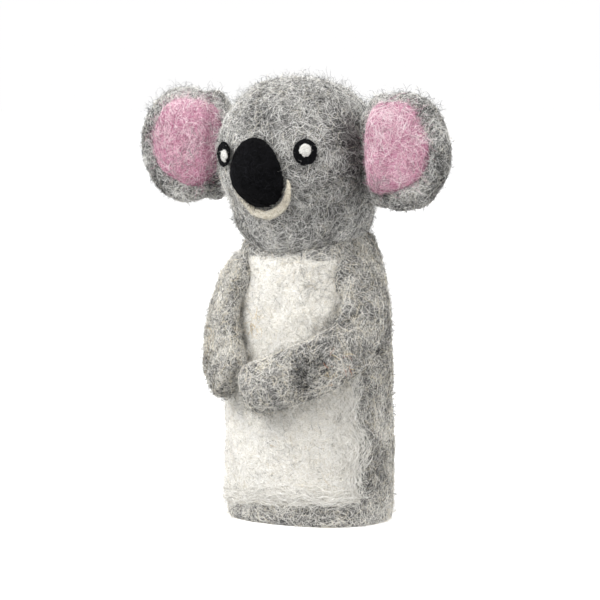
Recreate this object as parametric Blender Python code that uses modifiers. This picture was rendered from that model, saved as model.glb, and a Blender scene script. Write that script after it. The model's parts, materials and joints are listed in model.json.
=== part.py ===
"""Felted wool koala finger puppet: a hollow sleeve with a head, ears, face and two arms.

The koala faces -Y, its own left is +X, and it stands on z = 0. Lengths are in metres. Shapes are
worked out in the sleeve's frame, whose vertical axis is the middle of the finger pocket, and the
whole puppet is then moved by FORWARD_SHIFT so that its box is centred on the origin.
"""

import math

import bmesh
import bpy
from mathutils import Vector

MM = 0.001
GAP = 0.3 * MM  # clearance between pieces of felt that lie on each other
FORWARD_SHIFT = 5.9 * MM
SHARP_FROM = math.radians(50)

# Sleeve: (height, half width, half depth) of its outer and inner wall, rounded-box sections
SLEEVE_ROUNDNESS = 2.3
SLEEVE_OUTSIDE = [
    (0.0, 19.6, 15.0),
    (1.0, 20.2, 15.6),
    (3.5, 20.6, 16.0),
    (14.0, 20.6, 16.0),
    (37.0, 20.1, 15.8),
    (50.0, 19.6, 15.6),
    (58.0, 18.3, 15.1),
    (63.0, 16.6, 14.6),
    (67.0, 15.0, 13.8),
]
POCKET_WALL = [
    (-3.0, 17.4, 12.8),
    (14.0, 17.4, 12.8),
    (37.0, 16.6, 12.4),
    (49.0, 15.8, 12.3),
    (53.5, 13.0, 12.6),
]
POCKET_ROUND_FROM = 56.5 * MM
SLEEVE_TOP = SLEEVE_OUTSIDE[-1][0] * MM
SECTION_POINTS = 40
SLOPE_STEP = 0.01  # radians over which the wall's direction is read
CUTTER_REACH = 3 * MM  # how far a cutter runs past the face it opens

# Neck and head: a ball that sits in a cup, both centred on the pivot
HEAD_PIVOT = Vector((0.0, -2.7, 77.0)) * MM
BALL_RADIUS = 17.4 * MM
CUP_EASE = 0.1 * MM  # extra room for the cup's flat facets
NECK_HOLE_RADIUS = 9.8 * MM
NECK_BOTTOM = 55.5 * MM
NECK_BLANK_TOP = 64.0 * MM
HEAD_CENTRE = Vector((0.0, -5.0, 85.6)) * MM
HEAD_HALF = Vector((18.7, 18.2, 18.7)) * MM
HEAD_ROUNDNESS = 2.25
BALL_ENDS_AT = math.radians(76)  # measured from straight down, seen from the pivot
FACE_STARTS_AT = math.radians(98)
NAPE_STARTS_AT = math.radians(130)
NAPE_EASE = (-0.3, 0.8)  # how far back a direction points where the face's rule gives way to the nape's
RADIUS_SEARCH_STEPS = 40
HEAD_SEGMENTS = (36, 26)

# Face: direction angles are turned left from straight ahead and raised from level, from the pivot
NOSE_AT = (0.0, 11.6)
NOSE_HALF = (7.0 * MM, 7.4 * MM)
NOSE_THICKNESS = 4.2 * MM
NOSE_TOP_TAPER = 0.16
EYES_AT = {"left": (32.6, 25.6), "right": (-27.5, 23.6)}
EYE_RADIUS = 2.9 * MM
EYE_THICKNESS = 1.0 * MM
HIGHLIGHT_RADIUS = 1.4 * MM
HIGHLIGHT_THICKNESS = 0.7 * MM
MOUTH_SWEEP = (math.radians(-192), math.radians(8))
MOUTH_WIDTH = 2.8 * MM
MOUTH_FROM_NOSE = 0.5 * MM
MOUTH_END_FULLNESS = 0.08  # share of the mouth's width left at its tips
MOUTH_STEPS, MOUTH_CORNERS = 22, 8
MOUTH_THICKNESS = 1.3 * MM

# Ears: thick discs that bend about an upright line inside their root
EAR_CENTRES = {"left": Vector((29.5, -7.0, 87.3)) * MM, "right": Vector((-30.2, -7.0, 87.9)) * MM}
EAR_HALVES = {"left": (12.6 * MM, 13.9 * MM), "right": (12.9 * MM, 14.1 * MM)}
EAR_HALF_THICKNESS = 4.2 * MM
EAR_EDGE_POWER = 1.8
EAR_DISH = 1.6 * MM
EAR_DISH_REACH = 0.85  # as a share of the ear's outline
EAR_HINGE_X = 23.8 * MM
INNER_EAR_X = 29.8 * MM
INNER_EAR_HALF = (8.2 * MM, 10.6 * MM)
INNER_EAR_THICKNESS = 1.5 * MM

# Belly patch: a skin on the front of the sleeve, its half angle at the bottom and at the top
PATCH_BOTTOM, PATCH_TOP = 5.8 * MM, 62.4 * MM
PATCH_HALF_ANGLES = (math.radians(66), math.radians(60))
PATCH_THICKNESS = 0.8 * MM
PATCH_ROWS, PATCH_COLUMNS = 12, 16

# Arms: (angle round the sleeve from straight ahead, height) from the shoulder to the paw's tip
ARM_LIFT = GAP + PATCH_THICKNESS + GAP
LEFT_ARM_ROUTE = [(65, 61.0), (64, 51.5), (52, 43.0), (26, 37.3), (2, 33.4), (-12.5, 31.4)]
RIGHT_ARM_ROUTE = [(-38, 61.0), (-39, 53.0), (-37, 45.5), (-32, 39.2), (-26, 35.2), (-19, 33.2)]
ARM_SIZES = [(4.0, 1.8), (6.2, 3.8), (7.0, 5.6), (6.8, 6.6), (6.4, 6.9)]  # half width, thickness, in mm
ARM_SECTIONS = 18
ARM_SECTION_POINTS = 14
ARM_ROUND_SHARE = 0.14  # share of the arm's length in each round end
ARM_TIP_SHARE = 0.02  # share of the sections' sweep that is closed off flat at each tip
ROUTE_STEP = 0.01  # share of an arm's route over which its direction is read

# Part colours: red, green, blue and roughness
GREY_WOOL = (0.42, 0.41, 0.39, 0.95)
CREAM_WOOL = (0.83, 0.80, 0.74, 0.95)
PINK_WOOL = (0.80, 0.50, 0.62, 0.95)
BLACK_WOOL = (0.01, 0.01, 0.012, 0.9)
WHITE_WOOL = (0.88, 0.87, 0.84, 0.95)


def clear_scene():
    """Remove every object, such as the startup cube."""
    for item in list(bpy.data.objects):
        bpy.data.objects.remove(item, do_unlink=True)


def make_collection(name):
    """Return a new collection in the scene."""
    collection = bpy.data.collections.new(name)
    bpy.context.scene.collection.children.link(collection)
    return collection


def make_pivot(name, position, parent=None):
    """Return an empty at a position given in the sleeve's frame."""
    pivot = bpy.data.objects.new(name, None)
    pivot["place"] = position
    PARTS.objects.link(pivot)
    pivot.parent = parent
    base = Vector(parent["place"]) if parent else Vector((0.0, -FORWARD_SHIFT, 0.0))
    pivot.location = position - base
    return pivot


def make_material(name, look):
    """Return a Principled material of one colour and roughness."""
    material = bpy.data.materials.new(name)
    material.use_nodes = True
    shader = material.node_tree.nodes["Principled BSDF"]
    shader.inputs["Base Color"].default_value = (*look[:3], 1.0)
    shader.inputs["Roughness"].default_value = look[3]
    shader.inputs["Metallic"].default_value = 0.0
    return material


def finish_mesh(name, form, pivot):
    """Turn a bmesh in the sleeve's frame into a mesh about its pivot, with its faces pointing out."""
    bmesh.ops.recalc_face_normals(form, faces=form.faces)
    if form.calc_volume(signed=True) < 0.0:
        bmesh.ops.reverse_faces(form, faces=form.faces)
    bmesh.ops.translate(form, verts=form.verts, vec=-Vector(pivot["place"]))
    mesh = bpy.data.meshes.new(name)
    form.to_mesh(mesh)
    form.free()
    return mesh


def add_part(name, form, look, pivot):
    """Turn a bmesh in the sleeve's frame into a part whose origin is its pivot."""
    mesh = finish_mesh(name, form, pivot)
    mesh.shade_smooth()
    mesh.set_sharp_from_angle(angle=SHARP_FROM)
    mesh.materials.append(make_material(name, look))
    part = bpy.data.objects.new(name, mesh)
    part.parent = pivot
    PARTS.objects.link(part)
    return part


def add_cutter(name, form, pivot):
    """Turn a bmesh into a cutting shape that isn't a part."""
    cutter = bpy.data.objects.new(name, finish_mesh(name, form, pivot))
    cutter.parent = pivot
    cutter.hide_render = True
    cutter.display_type = "WIRE"
    CUTTERS.objects.link(cutter)
    return cutter


def cut(part, cutter):
    """Cut a shape out of a part."""
    boolean = part.modifiers.new(cutter.name, "BOOLEAN")
    boolean.operation = "DIFFERENCE"
    boolean.object = cutter


def smooth_step(low, high, value):
    """Ease from 0 at low to 1 at high."""
    share = min(max((value - low) / (high - low), 0.0), 1.0)
    return share * share * (3.0 - 2.0 * share)


def mix(a, b, share):
    """Blend two numbers."""
    return a + (b - a) * share


def spline_at(points, position):
    """Read a Catmull-Rom curve through points of two or more numbers, at 0 to len(points) - 1."""
    index = min(int(position), len(points) - 2)
    t = position - index
    before = points[max(index - 1, 0)]
    start, end = points[index], points[index + 1]
    after = points[min(index + 2, len(points) - 1)]
    result = []
    for p, q, r, s in zip(before, start, end, after):
        bend = (2 * p - 5 * q + 4 * r - s) * t * t + (3 * q - p - 3 * r + s) * t ** 3
        result.append(0.5 * (2 * q + (r - p) * t + bend))
    return result


def signed_power(value, power):
    """Raise a number's size to a power and keep its sign."""
    return math.copysign(abs(value) ** power, value)


def wall_point(angle, height, half_width, half_depth):
    """A point on a rounded-box section, its angle measured from straight ahead to the left."""
    power = 2.0 / SLEEVE_ROUNDNESS
    x = half_width * signed_power(math.sin(angle), power)
    y = -half_depth * signed_power(math.cos(angle), power)
    return Vector((x, y, height))


def sleeve_halves(height):
    """The sleeve's half width and half depth outside at a height."""
    rows = SLEEVE_OUTSIDE
    for low, high in zip(rows, rows[1:]):
        if height <= high[0] * MM:
            share = (height / MM - low[0]) / (high[0] - low[0])
            return mix(low[1], high[1], share) * MM, mix(low[2], high[2], share) * MM
    return rows[-1][1] * MM, rows[-1][2] * MM


def on_sleeve(angle, height, lift):
    """A point at a distance outside the sleeve's surface."""
    half_width, half_depth = sleeve_halves(height)
    point = wall_point(angle, height, half_width, half_depth)
    return point + lift * sleeve_normal(angle, height)


def sleeve_normal(angle, height):
    """The level direction that points straight out of the sleeve."""
    half_width, half_depth = sleeve_halves(height)
    behind = wall_point(angle - SLOPE_STEP, height, half_width, half_depth)
    ahead = wall_point(angle + SLOPE_STEP, height, half_width, half_depth)
    along = ahead - behind
    return Vector((along.y, -along.x, 0.0)).normalized()


def loft(rings):
    """Join rings of points, from one end to the other, into a closed bmesh."""
    form = bmesh.new()
    rows = [[form.verts.new(point) for point in ring] for ring in rings]
    for row, next_row in zip(rows, rows[1:]):
        for i in range(len(row)):
            j = (i + 1) % len(row)
            form.faces.new((row[i], row[j], next_row[j], next_row[i]))
    form.faces.new(rows[0])
    form.faces.new(rows[-1])
    return form


def section_ring(height, half_width, half_depth):
    """One level section of the sleeve or of its pocket."""
    turns = [2 * math.pi * i / SECTION_POINTS for i in range(SECTION_POINTS)]
    return [wall_point(turn, height, half_width, half_depth) for turn in turns]


def round_ring(height, radius):
    """A level circle about the pivot's upright axis."""
    ring = []
    for i in range(SECTION_POINTS):
        turn = 2 * math.pi * i / SECTION_POINTS
        ring.append(Vector((radius * math.sin(turn), HEAD_PIVOT.y - radius * math.cos(turn), height)))
    return ring


def make_socket_cutter(name, pivot):
    """The ball that hollows the sleeve's rim and the neck, a gap larger than the head's own."""
    form = bmesh.new()
    bmesh.ops.create_uvsphere(form, u_segments=48, v_segments=32, radius=BALL_RADIUS + GAP + CUP_EASE)
    bmesh.ops.translate(form, verts=form.verts, vec=HEAD_PIVOT)
    return add_cutter(name, form, pivot)


def make_sleeve(pivot):
    """The hollow body: an outer wall, the finger pocket and the cup that the head sits in."""
    outside = [section_ring(z * MM, w * MM, d * MM) for z, w, d in SLEEVE_OUTSIDE]
    sleeve = add_part("body_sleeve", loft(outside), GREY_WOOL, pivot)
    pocket = [section_ring(z * MM, w * MM, d * MM) for z, w, d in POCKET_WALL]
    pocket.append(round_ring(POCKET_ROUND_FROM, NECK_HOLE_RADIUS))
    pocket.append(round_ring(SLEEVE_TOP + CUTTER_REACH, NECK_HOLE_RADIUS))
    cut(sleeve, add_cutter("pocket_cutter", loft(pocket), pivot))
    cut(sleeve, make_socket_cutter("sleeve_cup_cutter", pivot))


def make_neck(pivot):
    """The felted plug that closes the pocket, with a dished top for the head."""
    radius = NECK_HOLE_RADIUS - GAP
    form = loft([round_ring(NECK_BOTTOM, radius), round_ring(NECK_BLANK_TOP, radius)])
    neck = add_part("neck", form, GREY_WOOL, pivot)
    cut(neck, make_socket_cutter("neck_cup_cutter", pivot))


def head_radius(direction):
    """Distance from the pivot to the head's surface along a unit direction."""
    near, far = 0.0, 2.0 * HEAD_HALF.z
    for _ in range(RADIUS_SEARCH_STEPS):
        middle = (near + far) / 2
        offset = HEAD_PIVOT + direction * middle - HEAD_CENTRE
        size = sum(abs(offset[i] / HEAD_HALF[i]) ** HEAD_ROUNDNESS for i in range(3))
        if size < 1.0:
            near = middle
        else:
            far = middle
    polar = math.acos(max(-1.0, min(1.0, -direction.z)))
    upper_starts_at = mix(FACE_STARTS_AT, NAPE_STARTS_AT, smooth_step(*NAPE_EASE, direction.y))
    return mix(BALL_RADIUS, near, smooth_step(BALL_ENDS_AT, upper_starts_at, polar))


def make_head(pivot):
    """The stuffed felt head: a ball below, a fuller rounded form above."""
    form = bmesh.new()
    bmesh.ops.create_uvsphere(form, u_segments=HEAD_SEGMENTS[0], v_segments=HEAD_SEGMENTS[1], radius=1.0)
    for vertex in form.verts:
        direction = vertex.co.normalized()
        vertex.co = HEAD_PIVOT + direction * head_radius(direction)
    add_part("head", form, GREY_WOOL, pivot)


def head_place(turned_left, raised):
    """Return a function that lays (sideways, up, lift) offsets on the head about a direction."""
    turn, rise = math.radians(turned_left), math.radians(raised)
    outward = Vector((math.sin(turn) * math.cos(rise), -math.cos(turn) * math.cos(rise), math.sin(rise)))
    sideways = Vector((math.cos(turn), math.sin(turn), 0.0))
    up = outward.cross(sideways)
    middle = outward * head_radius(outward)

    def place(across, along, lift):
        direction = (middle + sideways * across + up * along).normalized()
        return HEAD_PIVOT + direction * (head_radius(direction) + lift)

    return place


def make_pad(name, place, halves, thickness, look, pivot, taper=0.0, base=None, rings=10):
    """A round-edged felt pad laid on a surface; base gives the lift of its underside."""
    form = bmesh.new()
    bmesh.ops.create_uvsphere(form, u_segments=20, v_segments=rings, radius=1.0)
    for vertex in form.verts:
        side, front, height = vertex.co.x, max(-vertex.co.y, 0.0), vertex.co.z
        across = side * halves[0] * (1.0 - taper * height)
        along = height * halves[1]
        underside = base(across, along) if base else GAP
        vertex.co = place(across, along, underside + thickness * front)
    add_part(name, form, look, pivot)


def make_eye(side, pivot):
    """A black disc with a white highlight on its middle."""
    place = head_place(*EYES_AT[side])
    make_pad(f"{side}_eye", place, (EYE_RADIUS, EYE_RADIUS), EYE_THICKNESS, BLACK_WOOL, pivot)

    def over_eye(across, along):
        inside = max(1.0 - (across ** 2 + along ** 2) / EYE_RADIUS ** 2, 0.0)
        return GAP + EYE_THICKNESS * math.sqrt(inside) + GAP

    halves = (HIGHLIGHT_RADIUS, HIGHLIGHT_RADIUS)
    name = f"{side}_eye_highlight"
    make_pad(name, place, halves, HIGHLIGHT_THICKNESS, WHITE_WOOL, pivot, base=over_eye, rings=8)


def make_mouth(pivot):
    """A crescent of cream wool that follows the nose's lower edge."""
    place = head_place(*NOSE_AT)
    first, last = MOUTH_SWEEP
    rings = []
    for i in range(MOUTH_STEPS + 1):
        share = i / MOUTH_STEPS
        turn = mix(first, last, share)
        fullness = math.sqrt(max(math.sin(math.pi * share), 0.0)) + MOUTH_END_FULLNESS
        width = MOUTH_WIDTH * fullness
        taper = 1.0 - NOSE_TOP_TAPER * math.sin(turn)
        ring = []
        for j in range(MOUTH_CORNERS):
            corner = 2 * math.pi * j / MOUTH_CORNERS
            reach = MOUTH_FROM_NOSE + width / 2 * (1.0 + math.cos(corner))
            across = (NOSE_HALF[0] * taper + reach) * math.cos(turn)
            along = (NOSE_HALF[1] + reach) * math.sin(turn)
            lift = GAP + MOUTH_THICKNESS / 2 * (1.0 + math.sin(corner)) * min(fullness, 1.0)
            ring.append(place(across, along, lift))
        rings.append(ring)
    add_part("mouth", loft(rings), CREAM_WOOL, pivot)


def ear_front(across, along, halves):
    """How far the ear's front stands before its mid plane, dished in the middle."""
    out = min((across / halves[0]) ** 2 + (along / halves[1]) ** 2, 1.0)
    dish = max(1.0 - out / EAR_DISH_REACH ** 2, 0.0) ** 2
    return EAR_HALF_THICKNESS * math.sqrt(1.0 - out ** EAR_EDGE_POWER) - EAR_DISH * dish


def make_ear(side, pivot):
    """A thick dished disc whose root is rounded about the hinge line, and its pink pad."""
    centre, halves = EAR_CENTRES[side], EAR_HALVES[side]
    sign = math.copysign(1.0, centre.x)
    centre_out = abs(centre.x)
    root_length = halves[0] - (centre_out - EAR_HINGE_X)
    form = bmesh.new()
    bmesh.ops.create_uvsphere(form, u_segments=28, v_segments=16, radius=1.0)
    for vertex in form.verts:
        across, along = vertex.co.x * halves[0], vertex.co.z * halves[1]
        front = ear_front(across, along, halves)
        depth = -front if vertex.co.y < 0 else EAR_HALF_THICKNESS * vertex.co.y
        out = centre_out + across
        if out < EAR_HINGE_X:
            root = min((EAR_HINGE_X - out) / root_length, 1.0)
            out = EAR_HINGE_X - EAR_HALF_THICKNESS * root
            depth *= math.sqrt(1.0 - root * root)
        vertex.co = Vector((sign * out, centre.y + depth, centre.z + along))
    add_part(f"{side}_ear", form, GREY_WOOL, pivot)

    def place(across, along, lift):
        out = INNER_EAR_X + across
        front = ear_front(out - centre_out, along, halves)
        return Vector((sign * out, centre.y - front - lift, centre.z + along))

    name = f"{side}_inner_ear"
    make_pad(name, place, INNER_EAR_HALF, INNER_EAR_THICKNESS, PINK_WOOL, pivot, rings=12)


def make_patch(pivot):
    """The belly layer: a skin of even thickness on the sleeve's front."""
    form = bmesh.new()
    bmesh.ops.create_grid(form, x_segments=PATCH_COLUMNS, y_segments=PATCH_ROWS, size=1.0)
    for vertex in form.verts:
        rise = (vertex.co.y + 1.0) / 2
        angle = vertex.co.x * mix(*PATCH_HALF_ANGLES, rise)
        height = mix(PATCH_BOTTOM, PATCH_TOP, rise)
        vertex.co = on_sleeve(angle, height, GAP + PATCH_THICKNESS / 2)
    patch = add_part("belly_patch", form, CREAM_WOOL, pivot)
    thicken = patch.modifiers.new("thickness", "SOLIDIFY")
    thicken.thickness = PATCH_THICKNESS
    thicken.offset = 0.0


def make_arm(name, route, pivot):
    """A felt roll from the shoulder, round the belly, to the paw."""

    def middle(share):
        angle, height = spline_at(route, share * (len(route) - 1))
        return math.radians(angle), height * MM

    rings = []
    for i in range(ARM_SECTIONS + 1):
        sweep = mix(ARM_TIP_SHARE, 1.0 - ARM_TIP_SHARE, i / ARM_SECTIONS)
        share = 0.5 - 0.5 * math.cos(math.pi * sweep)
        angle, height = middle(share)
        ahead = on_sleeve(*middle(min(share + ROUTE_STEP, 1.0)), 0.0)
        behind = on_sleeve(*middle(max(share - ROUTE_STEP, 0.0)), 0.0)
        normal = sleeve_normal(angle, height)
        across = (ahead - behind).normalized().cross(normal).normalized()
        to_end = min(min(share, 1.0 - share) / ARM_ROUND_SHARE, 1.0)
        roundness = math.sqrt(1.0 - (1.0 - to_end) ** 2)
        half_width, thickness = spline_at(ARM_SIZES, share * (len(ARM_SIZES) - 1))
        half_width *= MM * roundness
        thickness *= MM
        core = on_sleeve(angle, height, ARM_LIFT + thickness / 2)
        ring = []
        for j in range(ARM_SECTION_POINTS):
            turn = 2 * math.pi * j / ARM_SECTION_POINTS
            out = normal * (thickness / 2 * math.sin(turn) * roundness)
            ring.append(core + out + across * (half_width * math.cos(turn)))
        rings.append(ring)
    add_part(name, loft(rings), GREY_WOOL, pivot)


def shoulder_at(route):
    """The hinge point at the top of an arm, against the body."""
    angle, height = route[0]
    return on_sleeve(math.radians(angle), height * MM, ARM_LIFT)


def build_puppet():
    """Make every pivot and part."""
    body = make_pivot("body_axis", Vector((0.0, 0.0, 0.0)))
    head = make_pivot("head_pivot", HEAD_PIVOT, body)
    make_sleeve(body)
    make_patch(body)
    make_neck(head)
    make_head(head)
    make_pad("nose", head_place(*NOSE_AT), NOSE_HALF, NOSE_THICKNESS, BLACK_WOOL, head, taper=NOSE_TOP_TAPER)
    make_mouth(head)
    for side, centre in EAR_CENTRES.items():
        make_eye(side, head)
        hinge_x = math.copysign(EAR_HINGE_X, centre.x)
        make_ear(side, make_pivot(f"{side}_ear_hinge", Vector((hinge_x, centre.y, centre.z)), head))
    for side, route in (("left", LEFT_ARM_ROUTE), ("right", RIGHT_ARM_ROUTE)):
        shoulder = make_pivot(f"{side}_shoulder", shoulder_at(route), body)
        make_arm(f"{side}_arm", route, shoulder)


clear_scene()
PARTS = make_collection("koala_finger_puppet")
CUTTERS = make_collection("cutters")
build_puppet()
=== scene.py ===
"""The looks of the felted wool koala finger puppet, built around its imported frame.

Every felt piece is a lumpy form made from its frame solid, with a procedural wool material. All but
the hidden neck carry a coat of separate modelled fibres: thin closed tubes that lie curled on the form,
and finer hairs that stand off it. The koala faces -Y and its own left is +X. Lengths are in metres,
except where a name or a note says mm.
"""

import json
import math

import bmesh
import bpy
import numpy as np
from mathutils import Matrix, Vector, noise
from mathutils.bvhtree import BVHTree


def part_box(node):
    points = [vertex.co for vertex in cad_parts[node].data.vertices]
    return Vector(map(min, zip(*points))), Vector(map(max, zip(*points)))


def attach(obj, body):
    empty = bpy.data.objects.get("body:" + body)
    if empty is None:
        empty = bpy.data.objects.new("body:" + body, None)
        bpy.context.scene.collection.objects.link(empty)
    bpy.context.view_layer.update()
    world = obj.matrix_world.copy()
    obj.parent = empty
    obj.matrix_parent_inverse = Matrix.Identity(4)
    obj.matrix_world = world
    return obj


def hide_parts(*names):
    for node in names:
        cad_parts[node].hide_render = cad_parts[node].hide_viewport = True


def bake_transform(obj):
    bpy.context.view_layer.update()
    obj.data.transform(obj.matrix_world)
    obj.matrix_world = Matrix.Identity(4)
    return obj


MM = 0.001
SEED = 4711

# Camera: a three-quarter view from the koala's left front
CAMERA_AZIMUTH = 32.0
CAMERA_ELEVATION = 5.0
CAMERA_DISTANCE = 0.70
CAMERA_SENSOR = 36.0
CAMERA_CLIP = (0.01, 20.0)
FRAME_WIDTH = 141.6 * MM  # what the picture spans at the puppet
AIM_HEIGHT = 51.6 * MM
AIM_LEFT = 2.35 * MM  # the picture's middle lies this far left of the puppet's axis

# Light: name, azimuth, elevation, distance, size, power
LIGHTS = [
    ("key", -30.0, 42.0, 0.60, 0.40, 4.0),
    ("fill", 96.0, 30.0, 0.70, 0.50, 2.1),
    ("left_rim", -112.0, 12.0, 0.70, 0.40, 0.5),
]
AMBIENT = 1.0
FLOOR_GLOW = 0.66
DOME_RADIUS = 4.0
FLOOR_COLOUR = (0.8, 0.8, 0.8)
WHITE = (1.0, 1.0, 1.0)
BLACK = (0.0, 0.0, 0.0)

# Wool: linear colours, each list from the lightest to the darkest with its share
GREY_MIX = [
    ((0.94, 0.93, 0.90), 0.33),
    ((0.78, 0.73, 0.62), 0.06),
    ((0.68, 0.67, 0.64), 0.24),
    ((0.34, 0.335, 0.32), 0.13),
    ((0.09, 0.09, 0.09), 0.13),
    ((0.018, 0.018, 0.020), 0.11),
]
BODY_MIX = [
    ((0.94, 0.92, 0.87), 0.27),
    ((0.82, 0.75, 0.60), 0.14),
    ((0.70, 0.68, 0.63), 0.23),
    ((0.36, 0.35, 0.32), 0.14),
    ((0.09, 0.09, 0.09), 0.12),
    ((0.018, 0.018, 0.020), 0.10),
]
BELLY_MIX = [
    ((0.95, 0.94, 0.91), 0.52),
    ((0.88, 0.865, 0.83), 0.24),
    ((0.82, 0.77, 0.67), 0.12),
    ((0.60, 0.59, 0.565), 0.06),
    ((0.58, 0.44, 0.24), 0.01),
    ((0.36, 0.355, 0.345), 0.05),
]
PINK_MIX = [
    ((0.95, 0.83, 0.86), 0.28),
    ((0.82, 0.57, 0.65), 0.28),
    ((0.64, 0.34, 0.44), 0.21),
    ((0.37, 0.12, 0.21), 0.18),
    ((0.34, 0.30, 0.30), 0.05),
]
BLACK_MIX = [
    ((0.018, 0.018, 0.021), 0.24),
    ((0.007, 0.007, 0.008), 0.30),
    ((0.002, 0.002, 0.002), 0.46),
]
MOUTH_MIX = [
    ((0.84, 0.81, 0.74), 0.42),
    ((0.72, 0.67, 0.57), 0.36),
    ((0.52, 0.46, 0.36), 0.14),
    ((0.20, 0.19, 0.17), 0.08),
]
DOT_MIX = [
    ((0.76, 0.75, 0.72), 0.50),
    ((0.50, 0.49, 0.47), 0.30),
    ((0.12, 0.12, 0.12), 0.20),
]
STRAND_MIX = [((0.92, 0.905, 0.865), 0.5), ((0.84, 0.82, 0.77), 0.5)]
CHARCOAL_MIX = [((0.10, 0.10, 0.10), 0.3), ((0.02, 0.02, 0.022), 0.7)]
RUST_MIX = [((0.70, 0.52, 0.22), 0.5), ((0.50, 0.18, 0.10), 0.5)]
BROWN_MIX = [((0.07, 0.035, 0.022), 1.0)]
OCHRE_MIX = [((0.66, 0.50, 0.24), 1.0)]

# Fibres
LYING_POINTS = 6
HAIR_POINTS = 5
TUBE_SIDES = 3
MOST_TRIANGLES_IN_A_PIECE = 190000
LYING_RADIUS = 0.035 * MM
HAIR_RADIUS = 0.026 * MM
HAIR_SPREAD = 3.0
HAIR_CURL = 1.1
HAIR_DARKER = 0.42  # how much darker than the lying wool the standing hairs are
STRAND_RADIUS = 0.05 * MM
FLOOR_GAP = 0.08 * MM  # the lowest that a fibre lies
TUCK = 0.08 * MM  # how far a lying fibre's ends go into the felt

# How many lying fibres each coat has
SLEEVE_FIBRES = 30000
POCKET_FIBRES = 2600
HEAD_FIBRES = 18000
EAR_FIBRES = 6800
PINK_FIBRES = 3000
ARM_FIBRES = 6200
BELLY_FIBRES = 14000

# Darker places of the wool, some of them painted shade: centre in mm, radius in mm, amount
SLEEVE_SPOTS = [
    ((19, 2, 41), 5.0, 0.30), ((18.5, -2, 24), 4.5, 0.35), ((17, -6, 12), 4.0, 0.25),
    ((20, 8, 56), 6.0, 0.15), ((0, 5.9, 66), 13.0, 0.10), ((-18, 12, 30), 6.0, 0.25),
    ((6, 21, 22), 7.0, 0.25), ((-4, 21, 48), 7.0, 0.2),
]
# The first three head spots, beside the koala's left ear, are painted shade of the crevice between head and
# ear; the next three darken the head's side towards that ear, partly darker wool and partly painted shade of
# the ear; the rest are darker places of the wool.
HEAD_SPOTS_AND_EAR_SHADE = [
    ((18.6, -4, 93), 3.2, 0.5), ((18.9, -4.5, 87), 3.4, 0.6), ((18.6, -4, 80), 3.4, 0.5),
    ((15, -8, 94), 6.0, 0.16), ((17, -9, 84), 7.0, 0.18), ((16, -8, 74), 6.0, 0.18),
    ((4, -16, 97), 5.0, 0.22), ((-3, -15, 94), 5.0, 0.20), ((13, -13, 82), 4.0, 0.18),
    ((10, -15, 76), 4.5, 0.16), ((-17, 2, 92), 7.0, 0.2), ((-11, -9, 71), 5.0, 0.25),
    ((6, 18, 90), 8.0, 0.22), ((-8, 17, 76), 6.0, 0.22),
]
ARM_SPOTS = [
    ((13.6, -16.9, 37), 3.5, 0.22), ((3, -19, 33), 4.0, 0.04),
    ((19, -10, 54), 5.0, 0.38), ((-17, -14, 36), 4.0, 0.20), ((-11, -17, 31), 3.5, 0.25),
]
BELLY_SPOTS = [
    ((13, -10, 57), 8.0, 0.58), ((14, -9, 46), 7.0, 0.46), ((9, -10.5, 18), 7.0, 0.26),
    ((4, -10.8, 12), 5.0, 0.22), ((13, -9, 31), 5.0, 0.22), ((1, -11, 30), 5.0, 0.16),
]

# How much each coat's wool is lightened as a whole, in shares of its colour list
SLEEVE_LIGHTER = 0.25
HEAD_LIGHTER = 0.32
EAR_LIGHTER = 0.20
ARM_LIGHTER = 0.28
BELLY_LIGHTER = 0.24

# Pink of the ears: its middle's distance from the ear's root, its half sizes, and how straight its root
# side is
PINK_MIDDLE = {"left": 8.0 * MM, "right": 8.3 * MM}
PINK_HALVES = {"left": (9.9 * MM, 10.5 * MM), "right": (9.4 * MM, 10.3 * MM)}
PINK_FLATNESS = {"left": 1.0, "right": 0.35}

# How fine each form is remeshed
BODY_VOXEL = 0.6 * MM
HEAD_VOXEL = 0.7 * MM
FACE_VOXEL = 0.28 * MM

# Felt material
STREAK_TURNS = ((0.0, 0.3, 0.0), (0.9, 0.0, 0.6), (0.2, 1.3, 1.1), (1.4, 0.5, 2.2))
STREAK_SCALE = (900.0, 5200.0, 5200.0)
STREAK_RANGE = (0.54, 0.74)  # the streaks' heights at the dark and at the light colour
STREAK_WARP = (0.0022, 0.0022, 0.0022)
WARP_SCALE = 420.0
BLOTCH_SCALE = 160.0
BLOTCH_RANGE = (0.45, 0.68)
RELIEF_DEPTH = 0.2 * MM

# Forms
HEAD_BALL_RADIUS = 17.4 * MM
RIM_RADIUS = 1.3 * MM
RIM_STEPS = 72
RIM_STARTS_AT = 58 * MM  # the height from which the rim's place is looked for
RIM_SEARCH_STEP = 0.25 * MM
RIM_MIDDLE_OUT = 0.4 * MM  # how far the roll's middle lies outside the head's ball; the roll sinks into it
OUTSIDE_REACH = 60  # mm; a point this far from the sleeve's axis is outside it
HEM_LUMPS_FROM = 0.6 * MM  # the sleeve's underside stays flat below this height
HEM_LUMPS_OVER = 2 * MM
HEAD_LUMPS_FROM = 9 * MM  # the head's ball stays smooth up to this height over its lowest point
HEAD_LUMPS_OVER = 5 * MM
HEAD_WOOL_FROM = 3 * MM
HEAD_HAIRS_FROM = 8 * MM
EAR_ROOT_HALVES = (7.2 * MM, 2.8 * MM, 13.6 * MM)
EAR_ROOT_OUT = 3.4 * MM  # how far the root's middle is from the ear's inner edge
SLEEVE_LUMPS = 0.32 * MM
HEAD_LUMPS = 0.42 * MM
EAR_LUMPS = 0.34 * MM
ARM_LUMPS = 0.36 * MM
FACE_LUMPS = 0.14 * MM
EYE_LIFT = 0.3 * MM
NOSE_STRETCH = 1.05
DOT_SHIFT = Vector((1.9 * MM, -0.75 * MM, -0.7 * MM))  # of the dot on the koala's right eye
ARM_INNER_LAYER = 0.93  # the scale, towards the sleeve's axis, of the layer between arm and body
ARM_ROOT_IN = 0.9  # mm, from the hinge towards the body
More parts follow.
